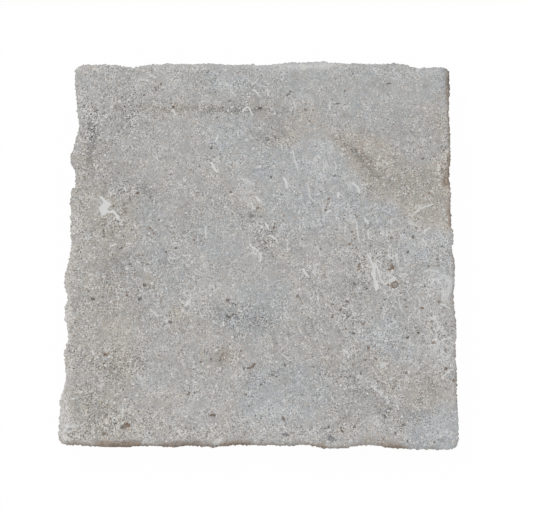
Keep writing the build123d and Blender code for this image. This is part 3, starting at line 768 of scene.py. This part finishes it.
def make_tile():
    """The tile's visible surface, with the fields that its material reads."""
    points, faces, edge = stone_mesh()
    normals = vertex_normals(points, faces)
    places = points[:, :2]
    shifted = wander(places)
    pits = pit_fields(places)
    seen_fields = {
        "warm": region_sum(shifted, WARM_REGIONS) + patch_sum(shifted, WARM_PATCHES),
        # light: the stone's paler and darker patches, with the painted highlight on the north and west rim
        # and the steep edge painted paler, partly wear and partly painted light
        "light": patch_sum(shifted, TONE_AND_PAINTED_LIGHT_PATCHES) + EDGE_WEAR_AND_PAINTED_LIGHT * np.clip(1 - normals[:, 2], 0, 1),
        "grit": patch_sum(shifted, GRAIN_PATCHES),
        "shelly": patch_sum(shifted, SHELLY_PATCHES),
        "chalk": patch_sum(places, CHALK_PATCHES),
    }
    fields = {**shell_fields(places), **flake_fields(places), **pits, **seen_fields}
    seen = np.clip((points[:, 2] - SEEN_FROM) / SEEN_FADE, 0, 1)
    for name in (*seen_fields, "shell_pale", "pit_dark", "flake_pale"):
        fields[name] = fields[name] * seen
    points = points + normals * relief(points, normals, pits)[:, None]
    points = np.clip(points, BOX_LOW, BOX_HIGH)
    fields.update(stain_fields(points, normals, edge))
    fields["upper"] = np.clip(normals[:, 2], 0, 1)
    mesh = bpy.data.meshes.new("tile_surface")
    mesh.from_pydata((points * MM).tolist(), [], faces)
    mesh.update()
    for name, values in fields.items():
        attribute = mesh.attributes.new(name, "FLOAT", "POINT")
        attribute.data.foreach_set("value", values.astype(np.float32))
    mesh.polygons.foreach_set("use_smooth", [True] * len(mesh.polygons))
    mesh.materials.append(limestone())
    return add_object("tile_surface", mesh)


NOISE_ROUGHNESS = 0.6
CRISP_RISE, CRISP_LEAST = 5.0, 0.4  # how crisp noise grows with its own height
# A speck's radius is the listed one times the first number, up to both together
SPECK_LEAST, SPECK_SPREAD = 0.5, 0.7
SPECK_EDGE = (-0.08, 0.12)  # how far outside and inside its outline a speck fades in


class Signal:
    """A number that varies over a surface. Arithmetic on it adds the nodes that work it out."""

    def __init__(self, shader, socket):
        self.shader = shader
        self.socket = socket

    def __add__(self, other):
        return self.shader.math("ADD", self, other)

    def __sub__(self, other):
        return self.shader.math("SUBTRACT", self, other)

    def __rsub__(self, other):
        return self.shader.math("SUBTRACT", other, self)

    def __mul__(self, other):
        return self.shader.math("MULTIPLY", self, other)

    def __abs__(self):
        return self.shader.math("ABSOLUTE", self)

    __radd__ = __add__
    __rmul__ = __mul__


class Shader:
    """Short ways to add nodes to one material or world."""

    def __init__(self, owner):
        owner.use_nodes = True
        self.owner = owner
        self.tree = owner.node_tree
        self.tree.nodes.clear()

    def node(self, kind, inputs=(), **settings):
        made = self.tree.nodes.new("ShaderNode" + kind)
        for name, value in settings.items():
            setattr(made, name, value)
        for name, value in dict(inputs).items():
            value = value.socket if isinstance(value, Signal) else value
            if isinstance(value, bpy.types.NodeSocket):
                self.tree.links.new(value, made.inputs[name])
            else:
                made.inputs[name].default_value = value
        return made

    def math(self, operation, *values, clamp=False):
        made = self.node("Math", enumerate(values), operation=operation, use_clamp=clamp)
        return Signal(self, made.outputs[0])

    def vector(self, operation, *values):
        return self.node("VectorMath", enumerate(values), operation=operation).outputs[0]

    def parts(self, kind, value):
        """The three parts of a colour or a place."""
        return [Signal(self, socket) for socket in self.node(kind, {0: value}).outputs]

    def ramp(self, value, low, high):
        """0 below low and 1 above high, with a soft turn between. High may be below low."""
        inputs = {"Value": value, "From Min": low, "From Max": high}
        made = self.node("MapRange", inputs, interpolation_type="SMOOTHSTEP", clamp=True)
        return Signal(self, made.outputs["Result"])

    def blend(self, factor, low, high, how="MIX"):
        """A mix of two colours."""
        inputs = {0: factor, 6: low, 7: high}
        return self.node("Mix", inputs, data_type="RGBA", blend_type=how, clamp_factor=True).outputs[2]

    def field(self, name):
        return Signal(self, self.node("Attribute", attribute_name=name).outputs["Fac"])

    def grain(self, place, size, detail=0.0, seed=0.0):
        """Noise about 0, with grains about as wide as size."""
        look = {"Scale": 1 / size, "Detail": detail, "Roughness": NOISE_ROUGHNESS}
        made = self.node("TexNoise", {"Vector": place, "W": seed, **look}, noise_dimensions="4D")
        return Signal(self, made.outputs["Fac"]) - 0.5

    def crisp(self, grain):
        """The same noise with its peaks drawn out."""
        return grain * (CRISP_RISE * abs(grain) + CRISP_LEAST)

    def cells(self, place, size, dimensions="3D"):
        """Scattered points about one size apart, and three chances of each point's own."""
        inputs = {"Vector": place, "Scale": 1 / size, "Randomness": 1.0}
        scatter = self.node("TexVoronoi", inputs, voronoi_dimensions=dimensions, feature="F1").outputs
        return scatter, self.parts("SeparateColor", scatter["Color"])

    def specks(self, place, size, share, radius, ragged):
        """Scattered round specks, 1 inside them, in a share of the cells, and a chance of each cell's own."""
        scatter, chance = self.cells(place, size)
        distance = Signal(self, scatter["Distance"]) * size
        edge = radius * (SPECK_SPREAD * chance[1] + SPECK_LEAST) + ragged - distance
        return self.ramp(edge, *SPECK_EDGE) * self.math("LESS_THAN", chance[0], share), chance[2]


# Colours, linear
COOL_STONE = (0.383, 0.407, 0.433, 1)
WARM_STONE = (0.449, 0.401, 0.341, 1)
DARK_GRAIN = (0.135, 0.120, 0.105, 1)
BROWN_GRAIN = (0.215, 0.143, 0.098, 1)
PALE_GRAIN = (0.700, 0.695, 0.680, 1)
PALE_BLOT = (0.520, 0.525, 0.525, 1)
CHALK_WHITE = (0.590, 0.595, 0.590, 1)
RUDDY_TINT = (1.06, 0.93, 0.82, 1)
SHELL_WHITE = (0.640, 0.645, 0.635, 1)
PIT_GREY = (0.115, 0.110, 0.105, 1)
PIT_BROWN = (0.240, 0.152, 0.096, 1)
PIT_BLUE = (0.225, 0.235, 0.250, 1)
STAIN_TINT = (0.700, 0.600, 0.520, 1)
STAIN_DEEP = (0.470, 0.360, 0.285, 1)
WHITE = (1, 1, 1, 1)
EDGE_WEAR_AND_PAINTED_LIGHT = 8.0  # steps of light by which the edge is painted paler where it is steepest: partly the stone's real wear, partly painted light lifting the shade of the rim turned from the lamp
LIGHT_STEP = 0.0185  # one step of light, as a share of the stone's own
WARM_STEP = 1 / 26  # one step of red over blue, as a share of the way from cool to warm stone
PLAIN_WARMTH = 0.443
STONE_ROUGHNESS, STONE_GLOSS = 0.85, 0.25

# How wide the stone's grains of each size are, those of its hue too
GRAINS = {"tiny": 0.42, "fine": 0.8, "small": 1.6, "middle": 3.3, "coarse": 7.0, "broad": 17.0, "wide": 45.0,
          "hue_fine": 0.9, "hue_small": 1.9}
GRIT_GRAIN, HUE_BROAD_GRAIN, BLOT_GRAIN, RUDDY_GRAIN = 1.2, 12.0, 2.3, 1.7
STREAKS = ((0.6, 1.0), (1.4, 0.8))  # grains of the stain's streaks: (width, strength)
STREAK_STRETCH = 0.3

# Specks scattered at random. Dark: (spacing, share of cells, more where crowded, more where the grain is
# strong, radius, strength). Pale: (spacing, share of cells, more where the grain is strong, radius, strength)
DARK_SPECKS = [
    (1.0, 0.08, 0.28, 0.22, 0.39, 0.76),
    (2.0, 0.04, 0.16, 0.34, 0.46, 0.78),
    (4.2, 0.07, 0.06, 0.10, 0.55, 0.76),
]
PALE_SPECKS = [(1.0, 0.20, 0.12, 0.42, 0.75), (1.9, 0.15, 0.36, 0.52, 0.80), (3.6, 0.14, 0.26, 0.80, 0.50)]
# Shells scattered at random. Broken: (bend, thickness of the line, strength, seed).
# Whole: (spacing, share of cells, strength)
BROKEN_SHELLS = [(6.0, 0.020, 0.6, 7.0), (3.4, 0.032, 0.5, 9.0), (9.0, 0.015, 0.6, 13.0)]
WHOLE_SHELLS = [(9.0, 0.3, 0.42), (5.0, 0.3, 0.32)]


def stone_grains(s):
    """The noise and fields that several layers of the stone share, and its place in millimetres."""
    g = SimpleNamespace(grit=s.field("grit"), upper=s.field("upper"))
    g.place = s.vector("MULTIPLY", s.node("TexCoord").outputs["Object"], (1 / MM,) * 3)
    g.flat_place = s.vector("MULTIPLY", g.place, (1, 1, 0))
    for name, size in GRAINS.items():
        setattr(g, name, s.grain(g.place, size))
    g.tiny = s.crisp(g.tiny)
    g.hue_broad = s.grain(g.place, HUE_BROAD_GRAIN, detail=2.0)
    return g


def plain_stone(s, g):
    """The stone's colour with its grain and its paler and darker patches, among them the painted highlight
    and painted light on the rim, and its warmth.
    """
    contrast = s.math("MAXIMUM", 0.84 + 0.55 * g.grit + 1.6 * g.coarse, 0.4)
    gritty = s.crisp(s.grain(g.place, GRIT_GRAIN, seed=15.0)) * s.math("MULTIPLY", g.grit, 0.9, clamp=True)
    fine_light = 1.25 * g.tiny + 0.66 * s.crisp(g.fine) + 0.30 * g.small + gritty
    broad_light = 0.3 * g.middle + 0.18 * g.coarse + 0.15 * g.broad + 0.12 * g.wide
    # the light field holds painted highlight and painted light on the rim besides the stone's own patches
    level = 1.0 + fine_light * contrast + broad_light + LIGHT_STEP * s.field("light")
    hue = 0.12 * g.hue_fine + 0.45 * g.hue_small + 0.2 * g.hue_broad
    warmth = PLAIN_WARMTH + WARM_STEP * s.field("warm") + hue
    base = s.blend(warmth, COOL_STONE, WARM_STONE)
    shade = s.node("CombineColor", {0: level, 1: level, 2: level}).outputs[0]
    return s.blend(1.0, base, shade, "MULTIPLY"), warmth


def add_specks(s, g, colour, warmth):
    """Dark and pale specks."""
    crowding = s.ramp(g.middle + 0.8 * g.coarse, -0.2, 0.25)
    ragged = 0.8 * g.fine
    for size, plain, crowded, gritty, radius, strength in DARK_SPECKS:
        share = plain + crowded * crowding + gritty * g.grit
        mask, other = s.specks(g.place, size, share, radius, ragged)
        dark = s.blend(s.ramp(other + 0.7 * warmth, 0.75, 1.0), DARK_GRAIN, BROWN_GRAIN)
        colour = s.blend(strength * mask, colour, dark)
    for size, plain, gritty, radius, strength in PALE_SPECKS:
        share = plain + 2 * plain * (g.hue_broad + g.coarse) + gritty * g.grit
        mask = s.specks(g.place, size, share, radius, ragged)[0]
        colour = s.blend(strength * mask, colour, PALE_GRAIN)
    return colour


def add_blots(s, g, colour):
    """Pale blots, chalky flecks and reddish spots."""
    blots = s.ramp(s.grain(g.place, BLOT_GRAIN, seed=3.0) + 0.5 * g.fine, 0.17, 0.30)
    colour = s.blend(blots * (0.34 + 0.3 * g.grit + 0.8 * g.coarse), colour, PALE_BLOT)
    chalk = s.ramp(s.field("chalk") + 1.3 * g.small + 2.2 * g.fine, 0.55, 0.9)
    colour = s.blend(0.75 * chalk, colour, CHALK_WHITE)
    ruddy = s.ramp(s.grain(g.place, RUDDY_GRAIN, seed=5.0) + 0.3 * g.fine, 0.17, 0.28)
    tinted = s.blend(1.0, colour, RUDDY_TINT, "MULTIPLY")
    return s.blend(ruddy * (0.3 + 3.0 * g.hue_broad), colour, tinted)


def add_random_shells(s, g, colour):
    """Thin broken shells as short curved lines, and whole ones as short pale arcs."""
    shelly = 0.1 + s.field("shelly")
    for size, cut, strength, seed in BROKEN_SHELLS:
        line = s.ramp(abs(s.grain(g.flat_place, size, seed=seed)), cut, 0.3 * cut)
        broken = s.ramp(s.grain(g.flat_place, 0.6 * size, seed=seed + 1.0), 0.05, 0.12)
        colour = s.blend(strength * line * broken * g.upper * shelly, colour, SHELL_WHITE)
    for size, share, strength in WHOLE_SHELLS:
        scatter, chance = s.cells(g.flat_place, size, "2D")
        away = s.vector("SUBTRACT", g.flat_place, scatter["Position"])
        turning = {"Vector": away, "Angle": 2 * math.pi * chance[0]}
        turned = s.node("VectorRotate", turning, rotation_type="Z_AXIS").outputs[0]
        x, y = s.parts("SeparateXYZ", turned)[:2]
        bow = size * (0.6 * chance[1] + 0.25)
        from_bow = x + bow
        across = abs(s.math("SQRT", from_bow * from_bow + y * y) - bow)
        thick = s.ramp(across + 0.5 * g.fine, 0.42, 0.15)
        length = s.ramp(abs(y), 0.26 * size, 0.12 * size)
        chosen = s.math("LESS_THAN", chance[2], share)
        colour = s.blend(strength * thick * length * chosen * g.upper, colour, SHELL_WHITE)
    return colour


def seen_shells(s, g):
    """1 inside the shells and flakes seen in the photograph."""
    ragged = 0.35 * (g.fine + g.small)
    end = s.ramp(s.field("shell_past") + ragged, 0.15, -0.6)
    half = s.field("shell_half")
    inside = half * (0.6 + 0.4 * end) + ragged - abs(s.field("shell_across"))
    pale = s.math("MULTIPLY", s.field("shell_pale"), 1.9, clamp=True)
    shell = s.ramp(inside, -0.16, 0.16) * end * pale * s.ramp(half, 0.05, 0.2)
    flake = s.ramp(s.field("flake_depth") + 0.5 * g.fine + 0.4 * g.small, -0.12, 0.12)
    return s.math("MAXIMUM", shell, flake * s.field("flake_pale"))


def add_pits(s, g, colour):
    """The pits and dark spots seen in the photograph, and where they are."""
    x, y, brown = s.field("pit_x"), s.field("pit_y"), s.field("pit_brown")
    radius = s.math("SQRT", x * x + y * y) + 0.9 * g.fine + 0.5 * g.tiny
    pit = 0.95 * s.ramp(radius, 1.2, 0.5) * s.field("pit_dark")
    inside = s.blend(brown, PIT_GREY, PIT_BROWN)
    inside = s.blend(s.math("MULTIPLY", brown, -1.0, clamp=True), inside, PIT_BLUE)
    return s.blend(pit, colour, inside), pit


def add_stain(s, g, colour):
    """Brown stain on the worn edges and down the sides, in streaks across the edge."""
    streaks = []
    for stretch in ((1, STREAK_STRETCH, 1), (STREAK_STRETCH, 1, 1)):
        drawn = s.vector("MULTIPLY", g.place, stretch)
        streaks.append(sum(strength * s.grain(drawn, size) for size, strength in STREAKS))
    south = s.field("stain_south")
    streak = streaks[0] * (1.0 - south) + streaks[1] * south
    inside = s.field("stain_inside") + 2.0 * streak + 2.2 * g.fine + 1.6 * g.small
    stain = s.ramp(inside, -0.6, 1.9) * s.field("stain")
    deep = s.ramp(s.field("edge_depth") + 1.6 * streak, 1.3, 0.1)
    tinted = s.blend(1.0, colour, s.blend(deep, STAIN_TINT, STAIN_DEEP), "MULTIPLY")
    return s.blend(stain, colour, tinted)


def limestone():
    """Fine grey limestone, warmer and cooler in places, with specks, shells, pits and stained edges."""
    s = Shader(bpy.data.materials.new("limestone"))
    g = stone_grains(s)
    colour, warmth = plain_stone(s, g)
    colour = add_specks(s, g, colour, warmth)
    colour = add_blots(s, g, colour)
    colour = add_random_shells(s, g, colour)
    shell = seen_shells(s, g)
    colour = s.blend(shell, colour, SHELL_WHITE)
    colour, pit = add_pits(s, g, colour)
    colour = add_stain(s, g, colour)
    height = 0.07 * g.tiny + 0.12 * g.fine + 0.13 * g.small + 0.03 * shell - 0.35 * pit
    bump = s.node("Bump", {"Height": height, "Strength": 1.0, "Distance": MM}).outputs[0]
    finish = {"Roughness": STONE_ROUGHNESS, "Specular IOR Level": STONE_GLOSS}
    stone = s.node("BsdfPrincipled", {"Base Color": colour, "Normal": bump, **finish})
    s.node("OutputMaterial", {"Surface": stone.outputs[0]})
    return s.owner


# The floor, light and camera
FLOOR_HALF = 3.0  # metres
FLOOR_SHADE = 0.85
WHITENED = 0.975  # share of plain white that the camera sees on the floor, the rest being its lit shade
WORLD_STRENGTH = 0.81
KEY_STRENGTH = 0.7
KEY_DIRECTION = (-0.40, 0.38, 0.84)  # towards the lamp, north-west and high
KEY_SOFTNESS = 35.0  # degrees across the lamp
CLIP_START, CLIP_END = 0.01, 20.0  # metres


def seen_directly(s):
    """1 for rays from the camera, a mirror or through glass, and 0 for light on the object."""
    path = s.node("LightPath").outputs
    direct = s.math("MAXIMUM", path["Is Camera Ray"], path["Is Glossy Ray"])
    return s.math("MAXIMUM", direct, path["Is Transmission Ray"])


def make_floor():
    """The white floor that the tile lies on, with a trace of its shadow."""
    s = Shader(bpy.data.materials.new("floor"))
    lit = s.node("BsdfDiffuse", {"Color": (FLOOR_SHADE, FLOOR_SHADE, FLOOR_SHADE, 1)})
    white = s.node("Emission", {"Color": WHITE, "Strength": 1.0})
    mixed = s.node("MixShader", {0: WHITENED * seen_directly(s), 1: lit.outputs[0], 2: white.outputs[0]})
    s.node("OutputMaterial", {"Surface": mixed.outputs[0]})
    corners = [(x * FLOOR_HALF, y * FLOOR_HALF, 0.0) for x, y in ((-1, -1), (1, -1), (1, 1), (-1, 1))]
    mesh = bpy.data.meshes.new("floor")
    mesh.from_pydata(corners, [], [(0, 1, 2, 3)])
    mesh.materials.append(s.owner)
    floor = add_object("floor", mesh)


def make_world():
    """Even light from all round, which the camera sees as white."""
    world = bpy.data.worlds.new("studio")
    s = Shader(world)
    strength = s.node("MapRange", {"Value": seen_directly(s), "To Min": WORLD_STRENGTH, "To Max": 1.0})
    background = s.node("Background", {"Color": WHITE, "Strength": strength.outputs["Result"]})
    s.node("OutputWorld", {"Surface": background.outputs[0]})
    bpy.context.scene.world = world


def make_key():
    """A broad soft lamp."""
    lamp = bpy.data.lights.new("key", "SUN")
    lamp.energy = KEY_STRENGTH
    lamp.angle = math.radians(KEY_SOFTNESS)
    made = add_object("key", lamp)
    made.rotation_euler = Vector(KEY_DIRECTION).to_track_quat("Z", "Y").to_euler()


def make_camera():
    """The photograph's camera."""
    place, right, up, back = camera_axes()
    camera = bpy.data.cameras.new("camera")
    camera.sensor_fit = "HORIZONTAL"
    camera.sensor_width = SENSOR
    camera.lens = LENS
    camera.clip_start = CLIP_START
    camera.clip_end = CLIP_END
    made = add_object("camera", camera)
    turn = Matrix((right, up, back)).transposed().to_4x4()
    made.matrix_world = Matrix.Translation(Vector(place) * MM) @ turn
    bpy.context.scene.camera = made


tile = make_tile()
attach(tile, "root")
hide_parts("limestone_tile")
make_floor()
make_world()
make_key()
make_camera()
bpy.context.scene.view_settings.view_transform = "Standard"
